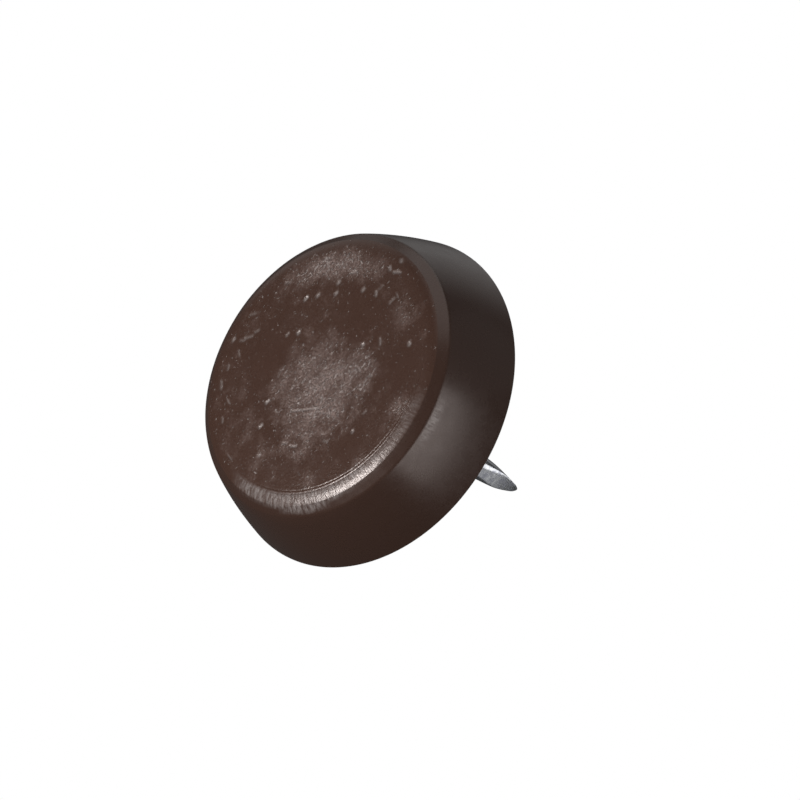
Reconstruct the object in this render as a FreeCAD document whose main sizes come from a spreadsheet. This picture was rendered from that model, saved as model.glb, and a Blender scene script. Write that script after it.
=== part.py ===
import FreeCAD, Part
import math
import os

import Sketcher

# A nail-on furniture glide: a tapered moulded pad with a flat-headed nail set into it.
# It stands as it does under a leg: glide face down on the floor, nail pointing up +Z.

# Driving dimensions in millimetres, apart from the draft, which is in degrees.
DRIVING_SIZES = {
    # Pad, outside
    "seat_diameter": 24.0,  # widest end, which meets the leg
    "pad_height": 5.8,  # floor to leg
    "land_diameter": 17.3,  # outer edge of the flat ring that slides on the floor
    "roll_radius": 2.0,  # curve by which the floor side rolls up at its edge
    "roll_width": 0.98,  # how far out that curve runs before the chamfer cuts it
    "chamfer_width": 0.61,
    "chamfer_height": 0.5,
    "barrel_radius": 31.0,  # swell of the side wall between chamfer and seat
    "dish_diameter": 11.1,  # shallow sink in the middle of the glide face
    "dish_depth": 0.2,
    # Pad, cored back
    "seat_width": 2.6,  # width of the ring that bears on the leg
    "floor_thickness": 2.5,  # plastic left under the cored ring
    "hub_wall": 1.4,  # plastic around the nail head
    "hub_set_back": 0.5,  # hub stays this far below the seat, so the ring bears first
    "draft_angle": 3.0,
    "core_radius": 0.6,  # rounded inner corners of the cored ring
    "edge_break": 0.2,  # small chamfers at the core's mouth and the hub's top
    # Nail
    "nail_diameter": 1.9,
    "nail_reach": 18.25,  # tip above the seat
    "head_diameter": 6.0,
    "head_thickness": 1.0,
    "head_cover": 1.9,  # plastic between floor plane and nail head
    "neck_diameter": 3.2,  # swelling under the head that tapers to the shank
    "point_length": 7.7,  # run of the curve by which each facet leaves the wire
    "point_width": 0.3,  # blunt end of the point
    "point_clearance": 0.02,  # each facet's curve dies out this far outside the wire
}

# Places worked out from the driving dimensions
ZERO = "0"
SEAT_RADIUS = "(Sizes.seat_diameter / 2)"
LAND_RADIUS = "(Sizes.land_diameter / 2)"
ROLL_END_RADIUS = f"({LAND_RADIUS} + Sizes.roll_width)"
ROLL_END_HEIGHT = "(Sizes.roll_radius - sqrt(Sizes.roll_radius ^ 2 - Sizes.roll_width ^ 2))"
WALL_FOOT_RADIUS = f"({ROLL_END_RADIUS} + Sizes.chamfer_width)"
WALL_FOOT_HEIGHT = f"({ROLL_END_HEIGHT} + Sizes.chamfer_height)"
WALL_SLOPE = f"(({SEAT_RADIUS} - {WALL_FOOT_RADIUS}) / (Sizes.pad_height - {WALL_FOOT_HEIGHT}))"
DISH_RADIUS = "(Sizes.dish_diameter / 2)"
DISH_BALL_RADIUS = f"(({DISH_RADIUS} ^ 2 + Sizes.dish_depth ^ 2) / (2 * Sizes.dish_depth))"

HUB_TOP = "(Sizes.pad_height - Sizes.hub_set_back)"
HUB_RADIUS = "(Sizes.head_diameter / 2 + Sizes.hub_wall)"
HUB_FOOT_RADIUS = f"({HUB_RADIUS} + ({HUB_TOP} - Sizes.floor_thickness) * tan(Sizes.draft_angle))"
SEAT_INNER_RADIUS = f"({SEAT_RADIUS} - Sizes.seat_width)"
CORE_DEPTH = "(Sizes.pad_height - Sizes.floor_thickness)"
CORE_FOOT_RADIUS = f"({SEAT_INNER_RADIUS} - {CORE_DEPTH} * {WALL_SLOPE})"

SHANK_RADIUS = "(Sizes.nail_diameter / 2)"
HEAD_RADIUS = "(Sizes.head_diameter / 2)"
NECK_RADIUS = "(Sizes.neck_diameter / 2)"
HEAD_TOP = "(Sizes.head_cover + Sizes.head_thickness)"
TIP = "(Sizes.pad_height + Sizes.nail_reach)"
FACET_FOOT_RADIUS = f"({SHANK_RADIUS} + Sizes.point_clearance)"
FACET_FOOT_HEIGHT = f"({TIP} - Sizes.point_length)"
FACET_FALL = f"({FACET_FOOT_RADIUS} - Sizes.point_width / 2)"
FACET_CURVE_RADIUS = f"((Sizes.point_length ^ 2 + {FACET_FALL} ^ 2) / (2 * {FACET_FALL}))"

# Outline of the nail's buried end, shared by the nail and by the pocket that it fills
NAIL_ROOT = [
    ("head_centre", ZERO, "Sizes.head_cover"),
    ("head_rim_low", HEAD_RADIUS, "Sizes.head_cover"),
    ("head_rim_high", HEAD_RADIUS, HEAD_TOP),
    ("neck", NECK_RADIUS, HEAD_TOP),
    ("shank_start", SHANK_RADIUS, HUB_TOP),
]

FULL_TURN = 360
FACET_COUNT = 4
SAME = 1e-6  # two places closer than this are the same

# A sketch numbers its own axes, and the ends of each line or arc, like this
ACROSS_INDEX, UP_INDEX = -1, -2
START_INDEX, END_INDEX = 1, 2


def make_sheet(doc):
    """Sheet with one named cell for each driving dimension."""
    sheet = doc.addObject("Spreadsheet::Sheet", "Sizes")
    for row, (name, number) in enumerate(DRIVING_SIZES.items(), start=1):
        sheet.set(f"A{row}", name)
        sheet.set(f"B{row}", str(number))
        sheet.setAlias(f"B{row}", name)
    doc.recompute()
    return sheet


def measure(expression):
    """Number that an expression over the sheet's names stands for."""
    return float(sizes.evalExpression(expression))


def origin_feature(body, role):
    """One of the body's own origin planes or axes."""
    found = [feature for feature in body.Origin.OriginFeatures if feature.Role == role]
    return found[0]


def new_sketch(body, name):
    """Empty sketch on the body's own upright plane, with +X across and +Z up."""
    sketch = body.newObject("Sketcher::SketchObject", name)
    sketch.AttachmentSupport = [(origin_feature(body, "XZ_Plane"), "")]
    sketch.MapMode = "FlatFace"
    sketch.Visibility = False
    return sketch


def arc_between(start, end, radius):
    """Arc of under half a turn from start to end, with its centre on the left of the way."""
    chord = end - start
    left = FreeCAD.Vector(-chord.y, chord.x, 0).normalize()
    centre = (start + end) / 2 + left * math.sqrt(radius ** 2 - (chord.Length / 2) ** 2)
    circle = Part.Circle(centre, FreeCAD.Vector(0, 0, 1), radius)
    angles = [math.atan2(point.y - centre.y, point.x - centre.x) for point in (start, end)]
    return Part.ArcOfCircle(circle, *angles)


def draw_outline(sketch, corners, arcs=None):
    """Closed outline through named corners, each placed by two expressions.

    arcs maps the name of the corner where a curved side starts to its radius.
    """
    arcs = arcs or {}
    points = [FreeCAD.Vector(measure(across), measure(up), 0) for _, across, up in corners]
    sides = []
    for index, (name, _, _) in enumerate(corners):
        start = points[index]
        end = points[(index + 1) % len(points)]
        if name in arcs:
            radius = arcs[name]
            side = sketch.addGeometry(arc_between(start, end, measure(radius)))
            bend = sketch.addConstraint(Sketcher.Constraint("Radius", side, measure(radius)))
            sketch.renameConstraint(bend, f"{name}_bend")
            sketch.setExpression(f"Constraints.{name}_bend", radius)
        else:
            side = sketch.addGeometry(Part.LineSegment(start, end))
        sides.append(side)
    for index, side in enumerate(sides):
        before = sides[index - 1]
        sketch.addConstraint(Sketcher.Constraint("Coincident", before, END_INDEX, side, START_INDEX))
        name, across, up = corners[index]
        place_corner(sketch, side, f"{name}_across", "DistanceX", across, UP_INDEX)
        place_corner(sketch, side, f"{name}_up", "DistanceY", up, ACROSS_INDEX)


def place_corner(sketch, side, name, kind, expression, axis):
    """Hold one coordinate of a side's start: on the sketch's axis, or at a named distance from the origin."""
    if expression == ZERO:
        sketch.addConstraint(Sketcher.Constraint("PointOnObject", side, START_INDEX, axis))
        return
    distance = (ACROSS_INDEX, START_INDEX, side, START_INDEX, measure(expression))
    held = sketch.addConstraint(Sketcher.Constraint(kind, *distance))
    sketch.renameConstraint(held, name)
    sketch.setExpression(f"Constraints.{name}", expression)


def turn(body, kind, name, corners, arcs=None):
    """Feature of revolution about the glide's axis, adding or cutting the outline given."""
    sketch = new_sketch(body, f"{name}_outline")
    draw_outline(sketch, corners, arcs)
    feature = body.newObject(kind, name)
    feature.Profile = sketch
    feature.ReferenceAxis = (sketch, ["V_Axis"])
    feature.Angle = FULL_TURN
    doc.recompute()
    return feature


def dress_rings(body, kind, name, base, rings, size_property, size):
    """Fillet or chamfer on the circular edges of base that lie at the given radii and heights."""
    wanted = [(measure(ring_radius), measure(height)) for ring_radius, height in rings]
    edges = []
    for index, edge in enumerate(base.Shape.Edges, start=1):
        if edge.Degenerated or not isinstance(edge.Curve, Part.Circle):
            continue
        for ring_radius, height in wanted:
            off = math.hypot(edge.Curve.Radius - ring_radius, edge.Curve.Center.z - height)
            if off < SAME:
                edges.append(f"Edge{index}")
    if len(edges) != len(rings):
        raise RuntimeError(f"{name}: {len(edges)} of {len(rings)} edges found")
    dressed = body.newObject(kind, name)
    dressed.Base = (base, edges)
    dressed.setExpression(size_property, size)
    doc.recompute()
    return dressed


def make_glide_pad():
    """Tapered moulded puck: dished glide face, rolled and chamfered edge, barrelled wall, cored back."""
    body = doc.addObject("PartDesign::Body", "glide_pad")
    body.Label = "glide_pad"
    outside = [
        ("face_centre", ZERO, ZERO),
        ("land_edge", LAND_RADIUS, ZERO),
        ("roll_end", ROLL_END_RADIUS, ROLL_END_HEIGHT),
        ("wall_foot", WALL_FOOT_RADIUS, WALL_FOOT_HEIGHT),
        ("seat_edge", SEAT_RADIUS, "Sizes.pad_height"),
        ("seat_centre", ZERO, "Sizes.pad_height"),
    ]
    bends = {"land_edge": "Sizes.roll_radius", "wall_foot": "Sizes.barrel_radius"}
    turn(body, "PartDesign::Revolution", "puck", outside, bends)

    dish = [
        ("dish_base", ZERO, ZERO),
        ("dish_edge", DISH_RADIUS, ZERO),
        ("dish_top", ZERO, "Sizes.dish_depth"),
    ]
    turn(body, "PartDesign::Groove", "dish", dish, {"dish_edge": DISH_BALL_RADIUS})

    core = [
        ("mouth_centre", ZERO, "Sizes.pad_height"),
        ("hub_centre", ZERO, HUB_TOP),
        ("hub_edge", HUB_RADIUS, HUB_TOP),
        ("hub_foot", HUB_FOOT_RADIUS, "Sizes.floor_thickness"),
        ("core_foot", CORE_FOOT_RADIUS, "Sizes.floor_thickness"),
        ("core_mouth", SEAT_INNER_RADIUS, "Sizes.pad_height"),
    ]
    cored = turn(body, "PartDesign::Groove", "back_core", core)
    corners = [(HUB_FOOT_RADIUS, "Sizes.floor_thickness"), (CORE_FOOT_RADIUS, "Sizes.floor_thickness")]
    softened = dress_rings(
        body, "PartDesign::Fillet", "core_corners", cored, corners, "Radius", "Sizes.core_radius"
    )
    edges = [(SEAT_INNER_RADIUS, "Sizes.pad_height"), (HUB_RADIUS, HUB_TOP)]
    dress_rings(body, "PartDesign::Chamfer", "broken_edges", softened, edges, "Size", "Sizes.edge_break")

    turn(body, "PartDesign::Groove", "nail_pocket", NAIL_ROOT + [("pocket_mouth", ZERO, HUB_TOP)])
    return body


def pinch_point(body):
    """Cut the nail's point: one bowed facet, repeated around the wire."""
    sketch = new_sketch(body, "facet_outline")
    above = f"({TIP} + Sizes.point_width)"
    outside = f"({FACET_FOOT_RADIUS} + Sizes.point_width)"
    corners = [
        ("facet_foot", FACET_FOOT_RADIUS, FACET_FOOT_HEIGHT),
        ("point_edge", "Sizes.point_width / 2", TIP),
        ("point_above", "Sizes.point_width / 2", above),
        ("outside_above", outside, above),
        ("outside_foot", outside, FACET_FOOT_HEIGHT),
    ]
    draw_outline(sketch, corners, {"facet_foot": FACET_CURVE_RADIUS})
    facet = body.newObject("PartDesign::Pocket", "facet")
    facet.Profile = sketch
    facet.Type = "ThroughAll"
    facet.SideType = "Symmetric"
    doc.recompute()
    facets = body.newObject("PartDesign::PolarPattern", "facets")
    facets.Originals = [facet]
    facets.Axis = (origin_feature(body, "Z_Axis"), [""])
    facets.Angle = FULL_TURN
    facets.Occurrences = FACET_COUNT
    body.Tip = facets
    doc.recompute()


def make_nail():
    """Round wire nail: flat head and tapering neck inside the pad, bare shank, four-sided point."""
    body = doc.addObject("PartDesign::Body", "nail")
    body.Label = "nail"
    outline = NAIL_ROOT + [("shank_end", SHANK_RADIUS, TIP), ("tip_centre", ZERO, TIP)]
    turn(body, "PartDesign::Revolution", "wire", outline)
    pinch_point(body)
    return body


def check_model(bodies):
    """Stop if any object failed, a cut removed nothing, or a piece isn't one sound solid."""
    for item in doc.Objects:
        if "Invalid" in item.State or "Error" in item.State:
            raise RuntimeError(f"{item.Name} failed: {item.State}")
        if item.TypeId in ("PartDesign::Groove", "PartDesign::Pocket", "PartDesign::PolarPattern"):
            if item.Shape.Volume >= item.BaseFeature.Shape.Volume:
                raise RuntimeError(f"{item.Name} cut nothing")
    for body in bodies:
        shape = body.Shape
        if shape.isNull() or not shape.isValid() or len(shape.Solids) != 1:
            raise RuntimeError(f"{body.Label} is not one valid solid")


doc = FreeCAD.newDocument("furniture_glide")
sizes = make_sheet(doc)
pieces = [make_glide_pad(), make_nail()]
doc.recompute()
check_model(pieces)

os.makedirs("parts", exist_ok=True)
for piece in pieces:
    piece.Shape.exportStep(f"parts/{piece.Label}.step")
    box = piece.Shape.optimalBoundingBox()
    print(piece.Label, f"{piece.Shape.Volume:.2f} mm3,", f"z {box.ZMin:.3f} to {box.ZMax:.3f}")
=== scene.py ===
# %% [markdown]
# # A nail-on furniture glide
#
# This lesson dresses a small part that is hammered under a chair leg: a brown moulded pad
# with a zinc-plated nail in its back. The solids already exist at their real size, so nothing
# is moved here. Each solid is replaced by a finer surface with the marks of moulding and
# handling, and gets a finish made of nodes.
#
# The shapes are written in millimetres, because the part is only as wide as a coin, and turned
# into Blender's metres at the last moment.

# %% Load the solids
import math

import bpy
import numpy as np
from mathutils import Matrix, Vector


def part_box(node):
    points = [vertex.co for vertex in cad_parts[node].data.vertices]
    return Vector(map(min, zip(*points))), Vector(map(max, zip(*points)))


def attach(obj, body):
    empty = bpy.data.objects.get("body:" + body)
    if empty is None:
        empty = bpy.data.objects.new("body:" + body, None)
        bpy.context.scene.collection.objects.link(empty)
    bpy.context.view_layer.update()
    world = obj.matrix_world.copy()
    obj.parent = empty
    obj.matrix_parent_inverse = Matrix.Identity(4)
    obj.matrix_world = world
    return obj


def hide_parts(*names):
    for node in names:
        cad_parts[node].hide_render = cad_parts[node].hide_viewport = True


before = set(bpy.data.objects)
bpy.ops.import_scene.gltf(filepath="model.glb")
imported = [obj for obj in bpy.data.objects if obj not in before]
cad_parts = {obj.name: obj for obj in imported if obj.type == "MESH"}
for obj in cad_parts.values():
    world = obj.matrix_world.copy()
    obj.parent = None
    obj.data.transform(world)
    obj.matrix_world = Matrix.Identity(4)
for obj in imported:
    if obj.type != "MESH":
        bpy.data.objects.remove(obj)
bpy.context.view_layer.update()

MM = 0.001  # one millimetre in metres
pad_top = np.array(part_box("glide_pad")[1]) / MM
nail_foot, nail_top = (np.array(corner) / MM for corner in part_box("nail"))

SEAT_RADIUS = pad_top[0]
PAD_HEIGHT = pad_top[2]
HEAD_RADIUS = nail_top[0]
HEAD_FLOOR = nail_foot[2]
TIP_HEIGHT = nail_top[2]
print(f"pad {2 * SEAT_RADIUS:.2f} wide and {PAD_HEIGHT:.2f} high, nail tip at {TIP_HEIGHT:.2f} mm")

# %% [markdown]
# ## The camera
#
# The part stands on its glide face, but the picture to match looks at that face from the floor
# side, with the nail running away to the lower right. So the camera sits below the floor and is
# rolled. It could be aimed with a Track To constraint, but a constraint can't roll it. Building
# its three axes from an azimuth, an elevation and a roll keeps the view in three plain angles,
# and the same axes later say where the lamps stand.

# %% Camera
VIEW_AZIMUTH = math.radians(20)
VIEW_ELEVATION = math.radians(-46.92)
VIEW_ROLL = math.radians(121.97)
LENS = 131.8
SEAT_DISTANCE = 200.0
SEAT_RIGHT, SEAT_UP = -2.165, -0.051  # the seat's centre, off the middle of the view
NEAREST, FARTHEST = 0.01, 10  # metres between which the camera sees


def view_axes(azimuth, elevation, roll):
    """Right, up and back of a camera.

    Back points from the object to the camera. Right starts level, up is back cross right,
    and both are then turned about back by the roll.
    """
    flat = math.cos(elevation)
    back = Vector((math.sin(azimuth) * flat, -math.cos(azimuth) * flat, math.sin(elevation)))
    level = Vector((math.cos(azimuth), math.sin(azimuth), 0))
    upright = back.cross(level)
    right = level * math.cos(roll) + upright * math.sin(roll)
    up = upright * math.cos(roll) - level * math.sin(roll)
    return right, up, back


RIGHT, UP, BACK = view_axes(VIEW_AZIMUTH, VIEW_ELEVATION, VIEW_ROLL)
seat_centre = Vector((0, 0, PAD_HEIGHT))
eye = seat_centre - RIGHT * SEAT_RIGHT - UP * SEAT_UP + BACK * SEAT_DISTANCE

camera = bpy.data.objects.new("camera", bpy.data.cameras.new("camera"))
bpy.context.scene.collection.objects.link(camera)
camera.data.lens = LENS
camera.data.clip_start = NEAREST
camera.data.clip_end = FARTHEST
camera.matrix_world = Matrix.Translation(eye * MM) @ Matrix((RIGHT, UP, BACK)).transposed().to_4x4()
bpy.context.scene.camera = camera
print("camera at", [round(place, 1) for place in eye], "mm")

# %% [markdown]
# ## A mesh from rings
#
# Both pieces are round about the nail's axis, so both are profiles carried round it. Blender's
# Spin or Screw could do that, but then each point would have the same radius all the way round.
# Worked out as a grid of rings and columns, every point can have its own small relief. The grid
# closes on itself sideways, and a fan of triangles closes it on a single point at each end.

# %% Mesh helpers


def closed_mesh(name, grid, poles):
    """Closed mesh of rings stacked from one pole to the other.

    The quad at ring i and column j joins columns j and j + 1 of rings i and i + 1, with the last
    column joined to the first. Each end is a fan from its pole. Rings that run outwards from the
    first pole and up give faces that point away from the inside.
    """
    rings, columns = grid.shape[:2]
    here = np.arange(rings * columns).reshape(rings, columns)
    beside = np.roll(here, -1, axis=1)
    quads = np.stack([here[:-1], beside[:-1], beside[1:], here[1:]], axis=-1).reshape(-1, 4)
    first, last = rings * columns, rings * columns + 1
    first_fan = np.stack([np.full(columns, first), beside[0], here[0]], axis=-1)
    last_fan = np.stack([np.full(columns, last), here[-1], beside[-1]], axis=-1)
    points = np.concatenate([grid.reshape(-1, 3), poles]) * MM
    mesh = bpy.data.meshes.new(name)
    mesh.from_pydata(points.tolist(), [], [*first_fan.tolist(), *quads.tolist(), *last_fan.tolist()])
    mesh.shade_smooth()
    return mesh


def add_attribute(mesh, name, kind, values, pole_values):
    """Attribute with one value per point: the grid's values, then the two poles'."""
    width = 3 if kind == "FLOAT_VECTOR" else 1
    field = "vector" if kind == "FLOAT_VECTOR" else "value"
    flat = np.concatenate([np.reshape(values, (-1, width)), np.reshape(pole_values, (-1, width))])
    attribute = mesh.attributes.new(name, kind, "POINT")
    attribute.data.foreach_set(field, flat.astype(np.float32).ravel())


def new_piece(name, mesh, material, node):
    """Object at the origin that stands for a solid, rides on the body and hides the solid."""
    piece = bpy.data.objects.new(name, mesh)
    bpy.context.scene.collection.objects.link(piece)
    mesh.materials.append(material)
    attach(piece, "root")
    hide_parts(node)
    triangles = sum(len(face.vertices) - 2 for face in mesh.polygons)
    print(f"{name}: {len(mesh.vertices)} points, {triangles} triangles")
    return piece


# %% [markdown]
# ## Runs, corners, ripples and bells
#
# Four small formulas draw everything that follows. A section is a chain of straight runs and
# rounded corners. Blender's Bevel could round the corners afterwards, but then the rings would no
# longer lie where the marks need them. Whatever is uneven is a sum of waves, seeded so that each
# run of the script gives the same part, and whatever is soft and local is a bell curve.

# %% Line helpers
CRISP = 0.03  # rows this close to a corner keep it crisp under smooth shading


def run(start, end, rows):
    """Points of a straight run: start plus a share of the way to end.

    The shares are even, with one more close to each corner. End itself is left to the next run.
    """
    start, end = np.array(start, float), np.array(end, float)
    near = CRISP / np.linalg.norm(end - start)
    share = np.unique(np.concatenate([[0, near, 1 - near], np.linspace(near, 1 - near, rows)]))
    return start + share[:, None] * (end - start)


def rounded_corner(before, corner, after, radius, rows):
    """Arc that touches both sides of a corner.

    Each side is touched at radius over the tangent of half the angle between the sides, and the
    centre lies on the bisector, at radius over the sine of that half. Between its ends the arc
    blends them by the sines of the sweep to go and of the sweep gone, over the sine of all of it.
    """
    before, corner, after = (np.array(point, float) for point in (before, corner, after))
    back_way = (before - corner) / np.linalg.norm(before - corner)
    on_way = (after - corner) / np.linalg.norm(after - corner)
    half = math.acos(np.clip(back_way @ on_way, -1, 1)) / 2
    bisector = (back_way + on_way) / np.linalg.norm(back_way + on_way)
    centre = corner + bisector * radius / math.sin(half)
    first = corner + back_way * radius / math.tan(half) - centre
    last = corner + on_way * radius / math.tan(half) - centre
    sweep = math.pi - 2 * half
    share = np.linspace(0, 1, rows)[:, None]
    return centre + (first * np.sin((1 - share) * sweep) + last * np.sin(share * sweep)) / math.sin(sweep)


def waves(points, longest, shortest, count, seed):
    """Random ripples of unit strength: a sum of plane waves.

    Each wave has a random direction, phase and length between the two given, and the sum is
    divided by the root of half their number.
    """
    random = np.random.default_rng(seed)
    way = random.normal(size=(count, 3))
    way /= np.linalg.norm(way, axis=1)[:, None]
    length = np.exp(random.uniform(np.log(shortest), np.log(longest), count))
    turn = 2 * np.pi * way / length[:, None]
    phase = random.uniform(0, 2 * np.pi, count)
    return np.cos(points @ turn.T + phase).sum(axis=-1) / math.sqrt(count / 2)


def bump_of(distance, width):
    """Bell curve: the exponential of minus the square of the distance over the width."""
    return np.exp(-((distance / width) ** 2))


# %% [markdown]
# ## The face and the wall of the pad
#
# The pad is injection moulded. Its face is a shallow dish and a flat ring that slides on the
# floor, and its edge rolls up into a narrow chamfer under a slightly barrelled side wall. The face
# could be joined from arcs like a drawing, but the real dish has a soft rim, so here it is a
# height for each radius, with more rings where a small step needs them.

# %% Face and wall lines
DISH_RADIUS, DISH_DEPTH = 5.55, 0.2
RIM_SOFTNESS = 0.012  # the dish's rim is let in by about this much
LAND_RADIUS = 8.65
ROLL_RADIUS, ROLL_WIDTH = 2.0, 0.98
CHAMFER_WIDTH, CHAMFER_HEIGHT = 0.61, 0.5
BARREL_RADIUS = 31.0
ROLL_END = LAND_RADIUS + ROLL_WIDTH
INNER_RING = 0.1  # radius of the ring next to a pole

# First radius, last radius and number of rings: dish, its rim, ring, fine lines on the ring, roll
FACE_STRETCHES = [
    (INNER_RING, 5.1, 76),
    (5.1, 6.0, 14),
    (6.0, 8.45, 38),
    (8.45, 8.95, 18),
    (8.95, ROLL_END - CRISP, 12),
]


def face_height(radius):
    """Height of the glide face above the floor at a radius.

    The dish is a ball's cap, let down softly onto the level ring: the softness times the logarithm
    of one plus the exponential of the cap's height over the softness. The roll is part of a circle
    that starts level at the ring's edge.
    """
    ball = (DISH_RADIUS**2 + DISH_DEPTH**2) / (2 * DISH_DEPTH)
    cap = DISH_DEPTH - ball + np.sqrt(ball**2 - radius**2)
    past = np.clip(radius - LAND_RADIUS, 0, None)
    roll = ROLL_RADIUS - np.sqrt(ROLL_RADIUS**2 - past**2)
    return RIM_SOFTNESS * np.logaddexp(0, cap / RIM_SOFTNESS) + roll


def face_line():
    """Face and roll: the height at each radius of the stretches, up to just short of the chamfer."""
    radius = np.concatenate([np.linspace(*stretch, endpoint=False) for stretch in FACE_STRETCHES])
    radius = np.append(radius, ROLL_END - CRISP)
    return np.stack([radius, face_height(radius)], axis=1)


def wall_line(foot, top, first, rows):
    """Side wall from a share of its length on.

    It is the chord from foot to top, bowed outwards at the middle by the chord's length squared over
    eight radii, and by four times that times the share and its rest elsewhere.
    """
    foot, top = np.array(foot), np.array(top)
    chord = top - foot
    length = np.linalg.norm(chord)
    share = np.linspace(first, 1 - CRISP / length, rows)[:, None]
    outwards = np.array([chord[1], -chord[0]]) / length
    bow = length**2 / (8 * BARREL_RADIUS)
    return foot + share * chord + 4 * bow * share * (1 - share) * outwards


face = face_line()
print(f"face of {len(face)} rings, {face[-1, 1]:.2f} mm above the floor where the roll ends")

# %% [markdown]
# ## The whole outline
#
# Half of the pad's section is one line from the middle of the face, round the outside, over the
# seat, down into the cored back, up the hub and into the pocket that the nail's head fills. The
# back could be a second piece, but one line gives one closed skin with no seam to hide. The
# chamfer's outer corner is rounder than the mould made it, because it is the first to wear.

# %% Pad outline
SHOULDER_RADIUS = 0.5  # the chamfer's outer corner is worn round
SEAT_WIDTH = 2.6
FLOOR_THICKNESS = 2.5
HUB_WALL, HUB_SET_BACK = 1.4, 0.5
DRAFT = math.radians(3)
CORE_RADIUS = 0.6
EDGE_BREAK = 0.2
SHANK_RADIUS = 0.95
NECK_RADIUS = 1.6
HEAD_THICKNESS = 1.0
SHOULDER_ROWS, WALL_ROWS, CORE_ROWS = 6, 30, 4
NEAR_FOOT = 0.04  # share of the wall at which its slope next to the chamfer is taken
PAST_SHOULDER = 1.1  # the wall's rows start a tenth further up than the rounded shoulder ends

HUB_TOP = PAD_HEIGHT - HUB_SET_BACK
HEAD_TOP = HEAD_FLOOR + HEAD_THICKNESS

roll_end = (ROLL_END, float(face_height(np.array(ROLL_END))))
wall_foot = (ROLL_END + CHAMFER_WIDTH, roll_end[1] + CHAMFER_HEIGHT)
seat_edge = (SEAT_RADIUS, PAD_HEIGHT)
wall_slope = (SEAT_RADIUS - wall_foot[0]) / (PAD_HEIGHT - wall_foot[1])
wall_start = wall_line(wall_foot, seat_edge, NEAR_FOOT, rows=2)[0]
shoulder = rounded_corner(roll_end, wall_foot, wall_start, SHOULDER_RADIUS, SHOULDER_ROWS)
chamfer = run(roll_end, shoulder[0], rows=3)
shoulder_share = math.dist(shoulder[-1], wall_foot) / math.dist(seat_edge, wall_foot)
wall = wall_line(wall_foot, seat_edge, PAST_SHOULDER * shoulder_share, WALL_ROWS)

mouth = np.array([SEAT_RADIUS - SEAT_WIDTH, PAD_HEIGHT])
core_foot = np.array([mouth[0] - (PAD_HEIGHT - FLOOR_THICKNESS) * wall_slope, FLOOR_THICKNESS])
hub_rim = np.array([HEAD_RADIUS + HUB_WALL, HUB_TOP])
hub_foot = np.array([hub_rim[0] + (HUB_TOP - FLOOR_THICKNESS) * math.tan(DRAFT), FLOOR_THICKNESS])
mouth_low = mouth + (core_foot - mouth) * EDGE_BREAK / np.linalg.norm(core_foot - mouth)
hub_low = hub_rim + (hub_foot - hub_rim) * EDGE_BREAK / np.linalg.norm(hub_foot - hub_rim)
core_corner = rounded_corner(mouth, core_foot, hub_foot, CORE_RADIUS, CORE_ROWS)
hub_corner = rounded_corner(core_foot, hub_foot, hub_rim, CORE_RADIUS, CORE_ROWS)
head_pocket = [
    (SHANK_RADIUS, HUB_TOP),
    (NECK_RADIUS, HEAD_TOP),
    (HEAD_RADIUS, HEAD_TOP),
    (HEAD_RADIUS, HEAD_FLOOR),
]

outline = np.concatenate(
    [
        face,
        chamfer,
        shoulder,
        wall,
        run(seat_edge, mouth + (EDGE_BREAK, 0), rows=3),
        run(mouth + (EDGE_BREAK, 0), mouth_low, rows=2),
        run(mouth_low, core_corner[0], rows=3),
        core_corner,
        run(core_corner[-1], hub_corner[0], rows=2)[1:],
        hub_corner,
        run(hub_corner[-1], hub_low, rows=2)[1:],
        run(hub_low, hub_rim - (EDGE_BREAK, 0), rows=2),
        run(hub_rim - (EDGE_BREAK, 0), (SHANK_RADIUS, HUB_TOP), rows=3),
        head_pocket,
    ]
)
face_end = len(face)
chamfer_end = face_end + len(chamfer) + len(shoulder)
wall_end = chamfer_end + len(wall)
print(f"pad outline has {len(outline)} points, {face_end} of them on the face and roll")

# %% [markdown]
# ## The outline carried round
#
# The outline becomes a grid of rings and columns, and each mark that follows is a formula over
# that grid. Marks are placed as the picture shows the face, by an angle from its lower left
# towards its lower right. Sculpting them would be quicker, but it would not survive a change
# of size.

# %% Pad grid
PAD_COLUMNS = 420
ARC_FADE = 10  # degrees over which an arc of marks fades out at each end

angle = np.arange(PAD_COLUMNS) * 2 * np.pi / PAD_COLUMNS
radius, height = outline[:, 0], outline[:, 1]
slope = np.gradient(outline, axis=0)
slope /= np.linalg.norm(slope, axis=1)[:, None]
normal = np.stack([slope[:, 1], -slope[:, 0]], axis=1)
along = np.concatenate([[0], np.cumsum(np.linalg.norm(np.diff(outline, axis=0), axis=1))])
across_x = radius[:, None] * np.cos(angle)
across_y = radius[:, None] * np.sin(angle)
places = np.stack([across_x, across_y, np.broadcast_to(height[:, None], across_x.shape)], axis=-1)

row = np.arange(len(outline))[:, None]
on_face = row < face_end
before_wall = row < chamfer_end
on_wall = (row >= chamfer_end) & (row < wall_end)


def picture_angle(degrees):
    """Angle about the axis of a place on the face: the view's azimuth less the picture's angle."""
    return VIEW_AZIMUTH - np.radians(degrees)


def turned_from(degrees):
    """Degrees between each column and an angle of the picture, the short way round."""
    return np.abs(np.degrees((angle - picture_angle(degrees) + np.pi) % (2 * np.pi) - np.pi))


def around(first, last):
    """One between two angles of the picture, falling in a straight line to nothing past each."""
    return np.clip(1 - (turned_from((first + last) / 2) - (last - first) / 2) / ARC_FADE, 0, 1)


print(f"pad grid of {len(outline)} rings and {PAD_COLUMNS} columns")

# %% [markdown]
# ## What the mould leaves
#
# The plastic sinks a little as it cools, so the ring is faintly crowned and the whole skin has a
# slow ripple. The mould also leaves a double line near the ring's edge. Heights are in millimetres
# along the outward normal. Crown and ripple fade out along the outline, because a relief that
# stops at a row would leave a step there that no real pad has.

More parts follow.
